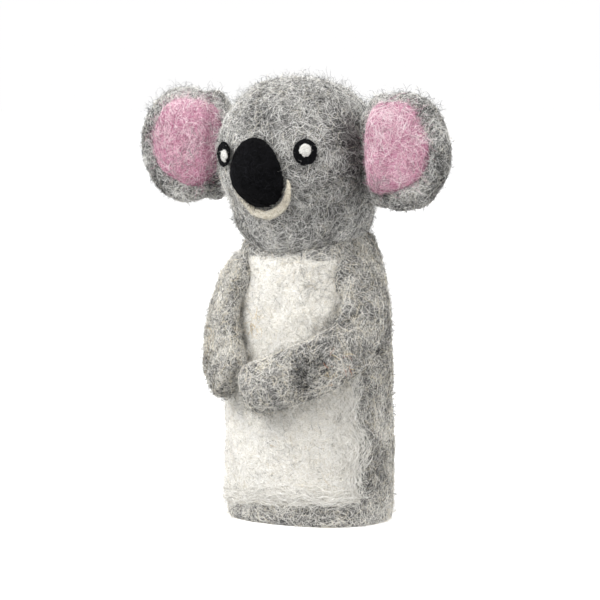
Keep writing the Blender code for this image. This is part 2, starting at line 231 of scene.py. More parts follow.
ARM_ROOT_DOWN = 3.6 * MM
ARM_ROOT_HALVES = (5.6 * MM, 2.6 * MM, 6.6 * MM)
SEWN_IN = 0.35 * MM  # how far a felt form lies inside its solid, to leave room for the fibres


# ---------------------------------------------------------------- set: camera, light, floor

def direction(azimuth, elevation):
    """The unit vector towards an azimuth and elevation in degrees; azimuth 0 is the koala's front."""
    turn, rise = math.radians(azimuth), math.radians(elevation)
    return Vector((math.sin(turn) * math.cos(rise), -math.cos(turn) * math.cos(rise), math.sin(rise)))


def add_camera():
    """The camera, with the puppet framed near the middle of the picture."""
    away = direction(CAMERA_AZIMUTH, CAMERA_ELEVATION)
    right = direction(CAMERA_AZIMUTH + 90.0, 0.0)
    low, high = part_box("body_sleeve")
    aim = Vector(((low.x + high.x) / 2, (low.y + high.y) / 2, AIM_HEIGHT)) - right * AIM_LEFT
    data = bpy.data.cameras.new("camera")
    data.sensor_width = CAMERA_SENSOR
    data.lens = CAMERA_SENSOR * CAMERA_DISTANCE / FRAME_WIDTH
    data.clip_start, data.clip_end = CAMERA_CLIP
    camera = bpy.data.objects.new("camera", data)
    camera.location = aim + away * CAMERA_DISTANCE
    camera.rotation_euler = (-away).to_track_quat("-Z", "Y").to_euler()
    bpy.context.scene.collection.objects.link(camera)
    bpy.context.scene.camera = camera


def add_lights():
    """Soft square lights round the puppet, and an even ambient light."""
    for name, azimuth, elevation, distance, size, power in LIGHTS:
        away = direction(azimuth, elevation)
        data = bpy.data.lights.new(name, "AREA")
        data.shape = "SQUARE"
        data.size = size
        data.energy = power
        light = bpy.data.objects.new(name, data)
        light.location = Vector((0.0, 0.0, AIM_HEIGHT)) + away * distance
        light.rotation_euler = (-away).to_track_quat("-Z", "Y").to_euler()
        bpy.context.scene.collection.objects.link(light)
    world = bpy.data.worlds.new("soft_ambient")
    world.use_nodes = True
    background = world.node_tree.nodes["Background"]
    background.inputs["Color"].default_value = (*WHITE, 1.0)
    background.inputs["Strength"].default_value = AMBIENT
    bpy.context.scene.world = world
    bpy.context.scene.view_settings.view_transform = "Standard"


def only_shown(thing):
    """Keep part of the set from lighting or shading the puppet."""
    thing.visible_diffuse = False
    thing.visible_glossy = False
    thing.visible_transmission = False
    thing.visible_shadow = False


def add_backdrop():
    """A white floor that takes a faint contact shadow, inside a white dome."""
    bpy.ops.mesh.primitive_circle_add(vertices=96, radius=DOME_RADIUS, fill_type="NGON")
    floor = bpy.context.object
    floor.name = "floor"
    material, shader = new_principled("floor_white", FLOOR_COLOUR, roughness=1.0)
    shader.inputs["Emission Color"].default_value = (*WHITE, 1.0)
    shader.inputs["Emission Strength"].default_value = FLOOR_GLOW
    floor.data.materials.append(material)
    bpy.ops.mesh.primitive_uv_sphere_add(segments=64, ring_count=32, radius=DOME_RADIUS)
    dome = bpy.context.object
    dome.name = "dome"
    material, shader = new_principled("dome_white", BLACK, roughness=1.0)
    shader.inputs["Emission Color"].default_value = (*WHITE, 1.0)
    shader.inputs["Emission Strength"].default_value = 1.0
    dome.data.materials.append(material)
    for thing in (floor, dome):
        only_shown(thing)


# ---------------------------------------------------------------- materials

def new_principled(name, colour, roughness=0.85, sheen=0.0, specular=0.15):
    """A Principled material of one colour, and its shader."""
    material = bpy.data.materials.new(name)
    material.use_nodes = True
    shader = material.node_tree.nodes["Principled BSDF"]
    shader.inputs["Base Color"].default_value = (*colour, 1.0)
    shader.inputs["Roughness"].default_value = roughness
    shader.inputs["Specular IOR Level"].default_value = specular
    shader.inputs["Sheen Weight"].default_value = sheen
    return material, shader


FIBRE_MATERIALS = {}


def fibre_material(colour):
    """The shared material of every fibre of one colour."""
    if colour not in FIBRE_MATERIALS:
        name = "fibre_{:03d}_{:03d}_{:03d}".format(*(round(part * 255) for part in colour))
        FIBRE_MATERIALS[colour] = new_principled(name, colour, roughness=0.85, specular=0.03)[0]
    return FIBRE_MATERIALS[colour]


def add_node(tree, kind, links=(), **values):
    """Add a shader node, set its properties or inputs by name, and link (output, input) pairs."""
    node = tree.nodes.new(kind)
    for name, value in values.items():
        if hasattr(node, name):
            setattr(node, name, value)
        else:
            node.inputs[name.replace("_", " ")].default_value = value
    for output, name in links:
        tree.links.new(output, node.inputs[name])
    return node


def felt_material(name, dark, light, blotch_colour=None, blotch_amount=0.0, bump=0.6, sheen=0.08):
    """Matted wool under the fibres: crossed fine streaks, soft blotches and a fibrous relief."""
    material, shader = new_principled(name, light, roughness=0.95, sheen=sheen, specular=0.08)
    tree = material.node_tree
    place = add_node(tree, "ShaderNodeTexCoord").outputs["Object"]
    warp = add_node(tree, "ShaderNodeTexNoise", [(place, "Vector")], Scale=WARP_SCALE)
    bend = add_node(tree, "ShaderNodeVectorMath", operation="MULTIPLY_ADD")
    bend.inputs[1].default_value = STREAK_WARP
    tree.links.new(warp.outputs["Color"], bend.inputs[0])
    tree.links.new(place, bend.inputs[2])
    streaks = None
    for turn in STREAK_TURNS:
        mapping = add_node(tree, "ShaderNodeMapping", [(bend.outputs["Vector"], "Vector")], Rotation=turn,
                           Scale=STREAK_SCALE)
        grain = add_node(tree, "ShaderNodeTexNoise", [(mapping.outputs["Vector"], "Vector")], Scale=1.0,
                         Detail=1.0)
        if streaks is None:
            streaks = grain.outputs["Fac"]
            continue
        join = add_node(tree, "ShaderNodeMath", operation="MAXIMUM")
        tree.links.new(streaks, join.inputs[0])
        tree.links.new(grain.outputs["Fac"], join.inputs[1])
        streaks = join.outputs["Value"]
    ramp = add_node(tree, "ShaderNodeValToRGB", [(streaks, "Fac")])
    for element, position, shown in zip(ramp.color_ramp.elements, STREAK_RANGE, (dark, light)):
        element.position = position
        element.color = (*shown, 1.0)
    colour = ramp.outputs["Color"]
    if blotch_colour:
        blotch = add_node(tree, "ShaderNodeTexNoise", [(place, "Vector")], Scale=BLOTCH_SCALE, Detail=3.0)
        amount = add_node(tree, "ShaderNodeMapRange", [(blotch.outputs["Fac"], "Value")],
                          From_Min=BLOTCH_RANGE[0], From_Max=BLOTCH_RANGE[1], To_Max=blotch_amount)
        mix = add_node(tree, "ShaderNodeMix", data_type="RGBA")
        tree.links.new(amount.outputs["Result"], mix.inputs[0])
        tree.links.new(colour, mix.inputs[6])
        mix.inputs[7].default_value = (*blotch_colour, 1.0)
        colour = mix.outputs[2]
    tree.links.new(colour, shader.inputs["Base Color"])
    relief = add_node(tree, "ShaderNodeBump", [(streaks, "Height")], Strength=bump, Distance=RELIEF_DEPTH)
    tree.links.new(relief.outputs["Normal"], shader.inputs["Normal"])
    return material


# ---------------------------------------------------------------- felt forms

def node_form(*node_names):
    """A bmesh that holds the frame solids of these nodes."""
    form = bmesh.new()
    for name in node_names:
        form.from_mesh(frame["nodes"][name].data)
    return form


def add_ball(form, centre, halves, turn=None):
    """Add an ellipsoid to a form, to be merged with it by felt_up."""
    made = bmesh.ops.create_uvsphere(form, u_segments=20, v_segments=14, radius=1.0)
    matrix = Matrix.Translation(centre) @ (turn or Matrix.Identity(4)) @ Matrix.Diagonal((*halves, 1.0))
    bmesh.ops.transform(form, matrix=matrix, verts=made["verts"])


def apply_modifiers(piece):
    """Replace a piece's mesh by what its modifiers make of it."""
    depsgraph = bpy.context.evaluated_depsgraph_get()
    mesh = bpy.data.meshes.new_from_object(piece.evaluated_get(depsgraph))
    piece.modifiers.clear()
    old = piece.data
    piece.data = mesh
    bpy.data.meshes.remove(old)


def new_piece(name, form, material):
    """Make an object of a bmesh."""
    mesh = bpy.data.meshes.new(name)
    form.to_mesh(mesh)
    form.free()
    piece = bpy.data.objects.new(name, mesh)
    bpy.context.scene.collection.objects.link(piece)
    mesh.materials.clear()
    mesh.materials.append(material)
    return piece


def felt_up(name, form, material, voxel, smoothing, lumps, keep=None, inset=SEWN_IN):
    """Merge a form's solids into one soft, lumpy skin a little inside them; keep(point) damps both."""
    piece = new_piece(name, form, material)
    remesh = piece.modifiers.new("remesh", "REMESH")
    remesh.mode = "VOXEL"
    remesh.voxel_size = voxel
    relax = piece.modifiers.new("relax", "SMOOTH")
    relax.factor = 0.5
    relax.iterations = smoothing
    apply_modifiers(piece)
    mesh = piece.data
    mesh.materials.clear()
    mesh.materials.append(material)
    normals = [vertex.normal.copy() for vertex in mesh.vertices]
    for vertex, normal in zip(mesh.vertices, normals):
        amount = keep(vertex.co) if keep else 1.0
        if amount:
            swell = noise.noise(vertex.co * 150.0) + 0.6 * noise.noise(vertex.co * 380.0 + Vector((7, 3, 1)))
            vertex.co += normal * (amount * (lumps * swell - inset))
    mesh.shade_smooth()
    mesh.update()
    return piece


def tree_of(*pieces):
    """A search tree of some pieces' meshes, to lay things on them."""
    form = bmesh.new()
    for piece in pieces:
        form.from_mesh(piece.data)
    tree = BVHTree.FromBMesh(form)
    form.free()
    return tree


def skin(name, material, columns, rows, place, lift, sink):
    """A thin closed felt skin: place(u, v) gives a point and its normal, lift(u, v) the height over it."""
    top, bottom = [], []
    form = bmesh.new()
    for j in range(rows + 1):
        for i in range(columns + 1):
            u, v = 2 * i / columns - 1, 2 * j / rows - 1
            point, normal = place(u, v)
            top.append(form.verts.new(point + normal * lift(u, v)))
            bottom.append(form.verts.new(point - normal * sink))
    width = columns + 1
    for j in range(rows):
        for i in range(columns):
            a, b, c, d = j * width + i, j * width + i + 1, (j + 1) * width + i + 1, (j + 1) * width + i
            form.faces.new((top[a], top[b], top[c], top[d]))
            form.faces.new((bottom[d], bottom[c], bottom[b], bottom[a]))
    edge = list(range(columns))
    edge += [j * width + columns for j in range(rows)]
    edge += [rows * width + i for i in range(columns, 0, -1)]
    edge += [j * width for j in range(rows, 0, -1)]
    for a, b in zip(edge, edge[1:] + edge[:1]):
        form.faces.new((top[b], top[a], bottom[a], bottom[b]))
    bmesh.ops.recalc_face_normals(form, faces=form.faces)
    if form.calc_volume(signed=True) < 0.0:
        bmesh.ops.reverse_faces(form, faces=form.faces)
    piece = new_piece(name, form, material)
    piece.data.shade_smooth()
    return piece


# ---------------------------------------------------------------- fibres

def unit(vectors):
    """Vectors of length one."""
    return vectors / np.maximum(np.linalg.norm(vectors, axis=-1, keepdims=True), 1e-12)


def flattened(vectors, normals):
    """Unit vectors with their part along the normals taken out."""
    return unit(vectors - normals * np.sum(vectors * normals, axis=-1, keepdims=True))


def spin(vectors, normals, angles):
    """Turn tangent vectors about their normals."""
    angles = angles[:, None]
    return vectors * np.cos(angles) + np.cross(normals, vectors) * np.sin(angles)


def noise_at(points, scale, shift=0.0):
    """Smooth noise, about -0.6 to 0.6, at each point."""
    offset = Vector((shift, -shift, 2 * shift))
    return np.array([noise.noise(Vector(point) * scale + offset) for point in points])


def start_points(piece, count, random, accept=None):
    """Random points and normals, even over a piece's surface, where accept(points, normals) is true."""
    mesh = piece.data
    mesh.calc_loop_triangles()
    corners = np.empty(len(mesh.loop_triangles) * 3, np.int64)
    mesh.loop_triangles.foreach_get("vertices", corners)
    places = np.empty(len(mesh.vertices) * 3)
    mesh.vertices.foreach_get("co", places)
    a, b, c = np.moveaxis(places.reshape(-1, 3)[corners.reshape(-1, 3)], 1, 0)
    across = np.cross(b - a, c - a)
    areas = np.linalg.norm(across, axis=1)
    normals = unit(across)
    if accept is not None:
        areas = areas * accept((a + b + c) / 3, normals)
    picked = random.choice(len(areas), count, p=areas / areas.sum())
    r, s = np.sqrt(random.random(count))[:, None], random.random(count)[:, None]
    points = a[picked] * (1 - r) + b[picked] * (r * (1 - s)) + c[picked] * (r * s)
    return points, normals[picked]


def start_directions(points, normals, random, flow, spread, swirl):
    """Tangents along flow(points), bent in slow swirls and turned at random."""
    wanted = flow(points) if flow else np.tile((0.3, 0.2, 1.0), (len(points), 1))
    tangents = flattened(wanted, normals)
    angles = swirl * 2 * math.pi * noise_at(points, 85.0, 3.7) + random.normal(0.0, spread, len(points))
    return spin(tangents, normals, angles)


def lying_paths(tree, points, normals, tangents, random, length, curl, height):
    """Fibres that wander over a surface: their ends are tucked into it and their middles stand off it."""
    count = len(points)
    step = (length * random.uniform(0.55, 1.4, count) / (LYING_POINTS - 1))[:, None]
    turning = random.normal(0.0, curl, count)
    stand = height * random.random(count) ** 1.4
    paths = np.empty((count, LYING_POINTS, 3))
    tops = np.empty((count, LYING_POINTS, 3))
    for k in range(LYING_POINTS):
        wave = random.uniform(0.3, 1.0, count) * math.sin(math.pi * k / (LYING_POINTS - 1)) ** 0.6
        paths[:, k] = points + normals * (stand * wave - TUCK)[:, None]
        tops[:, k] = normals
        turning = turning * 0.8 + random.normal(0.0, curl * 0.7, count)
        tangents = spin(tangents, normals, turning * step[:, 0] / MM)
        found = [tree.find_nearest(Vector(point)) for point in points + tangents * step]
        points = np.array([hit[0] for hit in found])
        normals = unit(0.6 * normals + np.array([hit[1] for hit in found]))
        tangents = flattened(tangents, normals)
    return paths, tops


def standing_paths(points, normals, tangents, random, length, curl):
    """Hairs that leave a surface at a slant and curl in the air."""
    count = len(points)
    step = (length * (0.35 + 1.7 * random.random(count) ** 4) / (HAIR_POINTS - 1))[:, None]
    heading = unit(tangents + normals * random.uniform(0.3, 1.8, count)[:, None])
    turning = unit(random.normal(0.0, 1.0, (count, 3))) * (random.uniform(0.3, 1.0, count) * curl)[:, None]
    paths = np.empty((count, HAIR_POINTS, 3))
    tops = np.empty((count, HAIR_POINTS, 3))
    points = points - normals * TUCK
    for k in range(HAIR_POINTS):
        paths[:, k] = points
        tops[:, k] = unit(normals + 0.3 * turning)
        points = points + heading * step
        turning = turning + random.normal(0.0, 0.4 * curl, (count, 3))
        heading = unit(heading + np.cross(turning, heading) * step / MM - normals * 0.05)
    return paths, tops


def tube_faces(rings):
    """The corners and sizes of one tube's faces: its rings' vertices come first, then its two tips."""
    first_tip = rings * TUBE_SIDES
    loops, sizes = [], []
    for j in range(TUBE_SIDES):
        n = (j + 1) % TUBE_SIDES
        loops += [first_tip, n, j]
        sizes.append(3)
        for base in range(0, (rings - 1) * TUBE_SIDES, TUBE_SIDES):
            loops += [base + j, base + n, base + TUBE_SIDES + n, base + TUBE_SIDES + j]
            sizes.append(4)
        base = (rings - 1) * TUBE_SIDES
        loops += [first_tip + 1, base + j, base + n]
        sizes.append(3)
    return np.array(loops), np.array(sizes)


def tube_mesh(name, paths, tops, radii, colours, mix):
    """One piece of closed three-sided tubes, pointed at both ends, with a material slot for each colour."""
    count, points, _ = paths.shape
    rings = points - 2
    paths[:, :, 2] = np.maximum(paths[:, :, 2], FLOOR_GAP)
    along = unit(np.gradient(paths, axis=1))
    side = unit(np.cross(along, tops))
    other = np.cross(along, side)
    share = np.linspace(0.0, 1.0, points)[1:-1]
    girth = radii[:, None] * (0.55 + 0.45 * np.sin(math.pi * share))[None, :]
    turns = 2 * math.pi * np.arange(TUBE_SIDES) / TUBE_SIDES
    ring = side[:, 1:-1, None] * np.cos(turns)[:, None] + other[:, 1:-1, None] * np.sin(turns)[:, None]
    ring = paths[:, 1:-1, None] + ring * girth[:, :, None, None]
    ring = ring.reshape(count, rings * TUBE_SIDES, 3)
    places = np.concatenate([ring, paths[:, :1], paths[:, -1:]], axis=1)
    loops, sizes = tube_faces(rings)
    corner = (loops[None, :] + places.shape[1] * np.arange(count)[:, None]).ravel()
    total = np.tile(sizes, count)
    mesh = bpy.data.meshes.new(name)
    mesh.vertices.add(count * places.shape[1])
    mesh.vertices.foreach_set("co", places.ravel())
    mesh.loops.add(len(corner))
    mesh.loops.foreach_set("vertex_index", corner)
    mesh.polygons.add(len(total))
    mesh.polygons.foreach_set("loop_start", np.concatenate([[0], np.cumsum(total)[:-1]]))
    mesh.polygons.foreach_set("loop_total", total)
    mesh.polygons.foreach_set("material_index", np.repeat(colours, len(sizes)))
    for colour, _ in mix:
        mesh.materials.append(fibre_material(colour))
    mesh.update(calc_edges=True)
    mesh.shade_smooth()
    piece = bpy.data.objects.new(name, mesh)
    bpy.context.scene.collection.objects.link(piece)
    return piece


def pick_colours(points, mix, random, clumping, shade):
    """A colour for each fibre, with neighbours often alike, and darker where shade(points) is above 0."""
    weights = np.cumsum([weight for _, weight in mix])
    drawn = random.random(len(points))
    if clumping:
        drawn += clumping * (noise_at(points, 330.0) + 0.8 * noise_at(points, 110.0, 5.1))
    if shade:
        drawn += shade(points)
    return np.searchsorted(weights / weights[-1], np.clip(drawn, 0.0, 0.9999), side="right")


def spin_tubes(name, paths, tops, radius, roots, mix, join, random, clumping, shade):
    """Make pieces of fibres from their paths, and call join(piece) on each one."""
    radii = radius * random.uniform(0.65, 1.4, len(paths))
    colours = pick_colours(roots, mix, random, clumping, shade)
    triangles_each = 2 * TUBE_SIDES * (paths.shape[1] - 2)
    parts = math.ceil(len(paths) * triangles_each / MOST_TRIANGLES_IN_A_PIECE)
    for number, chosen in enumerate(np.array_split(np.arange(len(paths)), parts)):
        join(tube_mesh(f"{name}_{number + 1}", paths[chosen], tops[chosen], radii[chosen],
                       colours[chosen], mix))


def wool(name, piece, count, mix, join, random, over=(), length=4.4, curl=0.45, height=0.45,
         radius=LYING_RADIUS, flow=None, spread=0.9, swirl=1.2, accept=None, hairs=1.05, hair_length=2.1,
         hair_darker=HAIR_DARKER, hair_accept=None, clumping=0.42, shade=None):
    """A coat of fibres on a piece, lying over it and the other pieces given, and finer standing hairs.

    Lengths and heights are in mm, and hairs is the number of hairs for each lying fibre.
    """
    tree = tree_of(piece, *over)
    roots, normals = start_points(piece, count, random, accept)
    heading = start_directions(roots, normals, random, flow, spread, swirl)
    paths, tops = lying_paths(tree, roots, normals, heading, random, length * MM, curl, height * MM)
    spin_tubes(f"{name}_lying", paths, tops, radius, roots, mix, join, random, clumping, shade)
    roots, normals = start_points(piece, max(int(count * hairs), 1), random, hair_accept or accept)
    heading = start_directions(roots, normals, random, flow, HAIR_SPREAD, swirl)
    paths, tops = standing_paths(roots, normals, heading, random, hair_length * MM, HAIR_CURL)

    def darker(points):
        return (shade(points) if shade else 0.0) + hair_darker

    spin_tubes(f"{name}_hairs", paths, tops, HAIR_RADIUS, roots, mix, join, random, clumping, darker)


def near(centre, reach):
    """A test of where a surface lies within reach of a point, both in mm."""
    def accept(points, normals):
        return (np.linalg.norm(points / MM - np.array(centre), axis=1) < reach).astype(float)
    return accept


def tuft(name, piece, centre, reach, count, mix, join, random, radius=LYING_RADIUS):
    """A few curled fibres of another colour, felted in near one point."""
    wool(name, piece, count, mix, join, random, accept=near(centre, reach), length=4.0, curl=0.9,
         height=0.75, radius=radius, spread=2.0, hairs=0.15, clumping=0.0)


def dark_near(spots):
    """A shade that darkens wool near some points: (centre, radius, amount) each, in mm."""
    def shade(points):
        total = np.zeros(len(points))
        for centre, radius, amount in spots:
            away = np.linalg.norm(points / MM - np.array(centre), axis=1)
            total += amount * np.exp(-((away / radius) ** 2))
        return total
    return shade


# ---------------------------------------------------------------- how pieces move

def riding(body):
    """A function that makes a piece ride on a body."""
    def join(piece):
        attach(piece, body)
    return join


def bending():
    """A function that bakes a piece's place into its mesh and puts it on no body."""
    def join(piece):
        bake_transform(piece)
    return join


# ---------------------------------------------------------------- the puppet

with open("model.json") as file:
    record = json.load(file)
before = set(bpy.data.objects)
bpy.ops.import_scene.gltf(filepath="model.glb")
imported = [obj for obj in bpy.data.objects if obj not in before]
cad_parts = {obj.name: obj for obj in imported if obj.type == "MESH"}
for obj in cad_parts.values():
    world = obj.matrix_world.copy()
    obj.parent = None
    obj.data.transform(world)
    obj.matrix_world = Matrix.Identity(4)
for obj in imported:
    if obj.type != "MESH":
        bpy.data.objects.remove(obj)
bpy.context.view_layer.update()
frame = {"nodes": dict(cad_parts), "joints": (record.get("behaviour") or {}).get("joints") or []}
JOINTS = {joint["name"]: joint for joint in frame["joints"]}
SLEEVE_LOW, SLEEVE_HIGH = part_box("body_sleeve")
SLEEVE_AXIS = Vector(((SLEEVE_LOW.x + SLEEVE_HIGH.x) / 2, (SLEEVE_LOW.y + SLEEVE_HIGH.y) / 2, 0.0))
AXIS_XY = np.array(SLEEVE_AXIS[:2])


def facing_out(points, normals):
    """Where a surface faces away from the sleeve's axis."""
    away = unit(points[:, :2] - AXIS_XY)
    return (np.sum(normals[:, :2] * away, axis=1) > 0.05).astype(float)


def facing_in(points, normals):
    """Where a surface faces the sleeve's axis."""
    return 1.0 - facing_out(points, normals)


def add_rim(form):
    """Add a soft rolled rim where the sleeve's wall meets the head's ball."""
    wall = BVHTree.FromBMesh(form)
    pivot = Vector(JOINTS["head_turn"]["pos_m"])
    for i in range(RIM_STEPS):
        turn = 2 * math.pi * i / RIM_STEPS
        away = Vector((math.sin(turn), -math.cos(turn), 0.0))
        height = RIM_STARTS_AT
        while height < SLEEVE_HIGH.z - 0.2 * MM:
            outside = Vector((SLEEVE_AXIS.x, SLEEVE_AXIS.y, height)) + away * OUTSIDE_REACH * MM
            middle = wall.ray_cast(outside, -away)[0] - away * RIM_RADIUS
            if (middle - pivot).length < HEAD_BALL_RADIUS + RIM_MIDDLE_OUT:
                break
            height += RIM_SEARCH_STEP
        add_ball(form, middle, (RIM_RADIUS, RIM_RADIUS, RIM_RADIUS))


def make_sleeve(felt):
    """The hollow body, with its rolled rim."""

    def lumps_here(point):
        return min(max((point.z - HEM_LUMPS_FROM) / HEM_LUMPS_OVER, 0.0), 1.0)

    form = node_form("body_sleeve")
    add_rim(form)
    sleeve = felt_up("sleeve_felt", form, felt, BODY_VOXEL, 5, SLEEVE_LUMPS, lumps_here)
    join = riding("body")
    join(sleeve)
    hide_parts("body_sleeve")
    return sleeve, join


def cover_sleeve(random, sleeve, patch, join):
    """The sleeve's wool, which runs on over the belly's edges, and a little inside the pocket."""
    shade = dark_near(SLEEVE_SPOTS)

    def sleeve_shade(points):
        hem = np.clip(1.0 - points[:, 2] / (9 * MM), 0.0, 1.0)
        # The sleeve's top, under the chin, is darkened: painted shade of the head's overhang.
        under_chin_shade = np.clip((points[:, 2] - 61 * MM) / (4 * MM), 0.0, 1.0)
        return shade(points) - SLEEVE_LIGHTER - 0.55 * hem + 0.2 * under_chin_shade

    wool("sleeve_wool", sleeve, SLEEVE_FIBRES, BODY_MIX, join, random, over=[patch], accept=facing_out,
         shade=sleeve_shade)
    wool("pocket_wool", sleeve, POCKET_FIBRES, GREY_MIX, join, random, accept=facing_in, hairs=0.1,
         height=0.15)


def make_head(random, felt):
    """The stuffed head; its ball stays smooth where it turns in the cup."""
    low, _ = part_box("head")

    def lumps_here(point):
        return min(max((point.z - low.z - HEAD_LUMPS_FROM) / HEAD_LUMPS_OVER, 0.0), 1.0)

    head = felt_up("head_felt", node_form("head"), felt, HEAD_VOXEL, 4, HEAD_LUMPS, lumps_here)
    join = riding("head")
    join(head)
    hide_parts("head")

    def above(height):
        return lambda points, normals: (points[:, 2] > low.z + height).astype(float)

    # The head's wool is darkened at its spots, which include painted shade beside the koala's left ear, and
    # it is lightened as a whole.
    spots = dark_near(HEAD_SPOTS_AND_EAR_SHADE)

    def shade(points):
        return spots(points) - HEAD_LIGHTER

    wool("head_wool", head, HEAD_FIBRES, GREY_MIX, join, random, accept=above(HEAD_WOOL_FROM),
         hair_accept=above(HEAD_HAIRS_FROM), shade=shade)
    return head


def make_neck(felt):
    """The plug that closes the pocket."""
    neck = felt_up("neck_felt", node_form("neck"), felt, BODY_VOXEL, 2, 0.0)
    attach(neck, "neck")
    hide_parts("neck")


def make_ear(side, random, felt, pink):
    """One ear: a thick dished disc that runs into the head, and its pink inside."""
    sign = 1 if side == "left" else -1
    low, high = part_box(f"{side}_ear")
    centre = (low + high) / 2
    inner_x = low.x if side == "left" else high.x
    form = node_form(f"{side}_ear")
    add_ball(form, Vector((inner_x + sign * EAR_ROOT_OUT, centre.y + 1.0 * MM, centre.z)), EAR_ROOT_HALVES)
    ear = felt_up(f"{side}_ear_felt", form, felt, BODY_VOXEL, 4, EAR_LUMPS)
    join = bending()
    pink_join = bending()
    tree = tree_of(ear)
    pink_x, pink_z = inner_x + sign * PINK_MIDDLE[side], centre.z + 1.0 * MM
    half_width, half_height = PINK_HALVES[side]

    def place(u, v):
        across, along = u * math.sqrt(1 - v * v / 2), v * math.sqrt(1 - u * u / 2)
        size = math.hypot(across, along)
        wobble = 1.0 + 0.10 * size * noise.noise(Vector((1.3 * across, 1.3 * along, 4.0 * sign)))
        flat = PINK_FLATNESS[side] * max(-across, 0.0)
        along *= wobble * (1.0 + 0.25 * flat)
        across *= wobble * (1.0 - 0.2 * flat)
        x, z = pink_x + sign * across * half_width, pink_z + along * half_height
        point = tree.ray_cast(Vector((x, centre.y - 0.05, z)), Vector((0.0, 1.0, 0.0)))[0]
        return point or Vector((x, centre.y, z)), Vector((0.0, -1.0, 0.0))

    def lift(u, v):
        out = max(abs(u), abs(v))
        lump = 0.3 * noise.noise(Vector((2 * u, 2 * v, sign)))
        crown = 1.3 * math.sqrt(max(1.0 - out ** 4, 0.0)) + 0.5 * (1.0 - out * out)
        return (0.05 + crown + lump * (1 - out ** 4)) * MM

    inner = skin(f"{side}_inner_ear_felt", pink, 30, 34, place, lift, 0.4 * MM)

    def front(points, normals):
        return (normals[:, 1] < -0.15).astype(float)

    def grey_part(points, normals):
        x = (points[:, 0] - pink_x) / half_width
        z = (points[:, 2] - pink_z) / half_height
        covered = (x * x + z * z < 0.8) & (normals[:, 1] < 0)
        return np.where(covered, 0.0, 1.0)

    # The first two spots, at each ear's root, are painted shade of the crevice between ear and head; the
    # others darken the wool at other places.
    shade = dark_near([
        ((sign * 19.5, -4, 92), 4.5, 0.5), ((sign * 20, -4, 82), 5.0, 0.6), ((41, -3, 86), 4.0, 0.25),
        ((-37, -5, 78), 4.5, 0.2), ((-41, -3, 92), 4.0, 0.15), ((sign * 32, 3, 92), 6.0, 0.2),
    ])
    middle = np.array((pink_x, centre.y, pink_z))

    def round_middle(points):
        return np.cross(points - middle, (0.0, -1.0, 0.0)) + np.array((0.0, 0.0, 3 * MM))

    wool(f"{side}_ear_wool", ear, EAR_FIBRES, GREY_MIX, join, random, over=[inner], accept=grey_part,
         shade=lambda points: shade(points) - EAR_LIGHTER)
    pink_shade = dark_near([((sign * 21, -6, 88), 3.0, 0.3), ((sign * 27, -6, 78.5), 4.0, 0.25)])
    wool(f"{side}_inner_ear_wool", inner, PINK_FIBRES, PINK_MIX, pink_join, random, over=[ear],
         height=0.4, spread=0.6, swirl=0.5, flow=round_middle, accept=front, hairs=0.35, hair_length=1.4,
         hair_darker=0.1, curl=0.35, shade=pink_shade)
    join(ear)
    pink_join(inner)
    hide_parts(f"{side}_ear")
    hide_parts(f"{side}_inner_ear")


def make_arm(side, random, felt):
    """One arm, which lies on the body and runs into it at the shoulder."""
    node = f"{side}_arm"
    joint = JOINTS[f"{node}_lift"]
    hinge = Vector(joint["pos_m"])
    axis = Vector(joint["axis"]).normalized()
    outward = Vector((-axis.y, axis.x, 0.0))
    form = node_form(node)
    nearer = node_form(node)
    for vertex in nearer.verts:
        vertex.co.x = SLEEVE_AXIS.x + (vertex.co.x - SLEEVE_AXIS.x) * ARM_INNER_LAYER
        vertex.co.y = SLEEVE_AXIS.y + (vertex.co.y - SLEEVE_AXIS.y) * ARM_INNER_LAYER
    mesh = bpy.data.meshes.new("nearer")
    nearer.to_mesh(mesh)
    nearer.free()
    form.from_mesh(mesh)
    bpy.data.meshes.remove(mesh)
    turn = Matrix((axis, outward, Vector((0.0, 0.0, 1.0)))).transposed().to_4x4()
    root = hinge - outward * ARM_ROOT_IN * MM - Vector((0.0, 0.0, ARM_ROOT_DOWN))
    add_ball(form, root, ARM_ROOT_HALVES, turn)
    arm = felt_up(f"{side}_arm_felt", form, felt, BODY_VOXEL, 5, ARM_LUMPS)
    join = bending()
    shade = dark_near(ARM_SPOTS)

    def along_arm(points):
        away = unit(points[:, :2] - AXIS_XY)
        level = np.clip((55 * MM - points[:, 2]) / (16 * MM), 0.0, 1.0)
        towards_paw = 1.0 if side == "left" else -1.0
        across = towards_paw * level
        return np.column_stack((across * away[:, 1], -across * away[:, 0], level * 0.3 - 1))

    wool(f"{side}_arm_wool", arm, ARM_FIBRES, BODY_MIX, join, random, flow=along_arm, spread=0.8,
         shade=lambda points: shade(points) - ARM_LIGHTER)
    if side == "left":
        tuft("left_arm_charcoal", arm, (13.6, -16.9, 37), 5.0, 260, CHARCOAL_MIX, join, random)
        tuft("left_arm_rust", arm, (20, -12.5, 38), 5.5, 16, RUST_MIX, join, random, STRAND_RADIUS)
    else:
        tuft("right_arm_brown", arm, (-19.5, -13, 38), 2.6, 36, BROWN_MIX, join, random)
        tuft("right_arm_ochre", arm, (-18, -14, 41), 4.5, 22, OCHRE_MIX, join, random)
    join(arm)
    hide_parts(node)


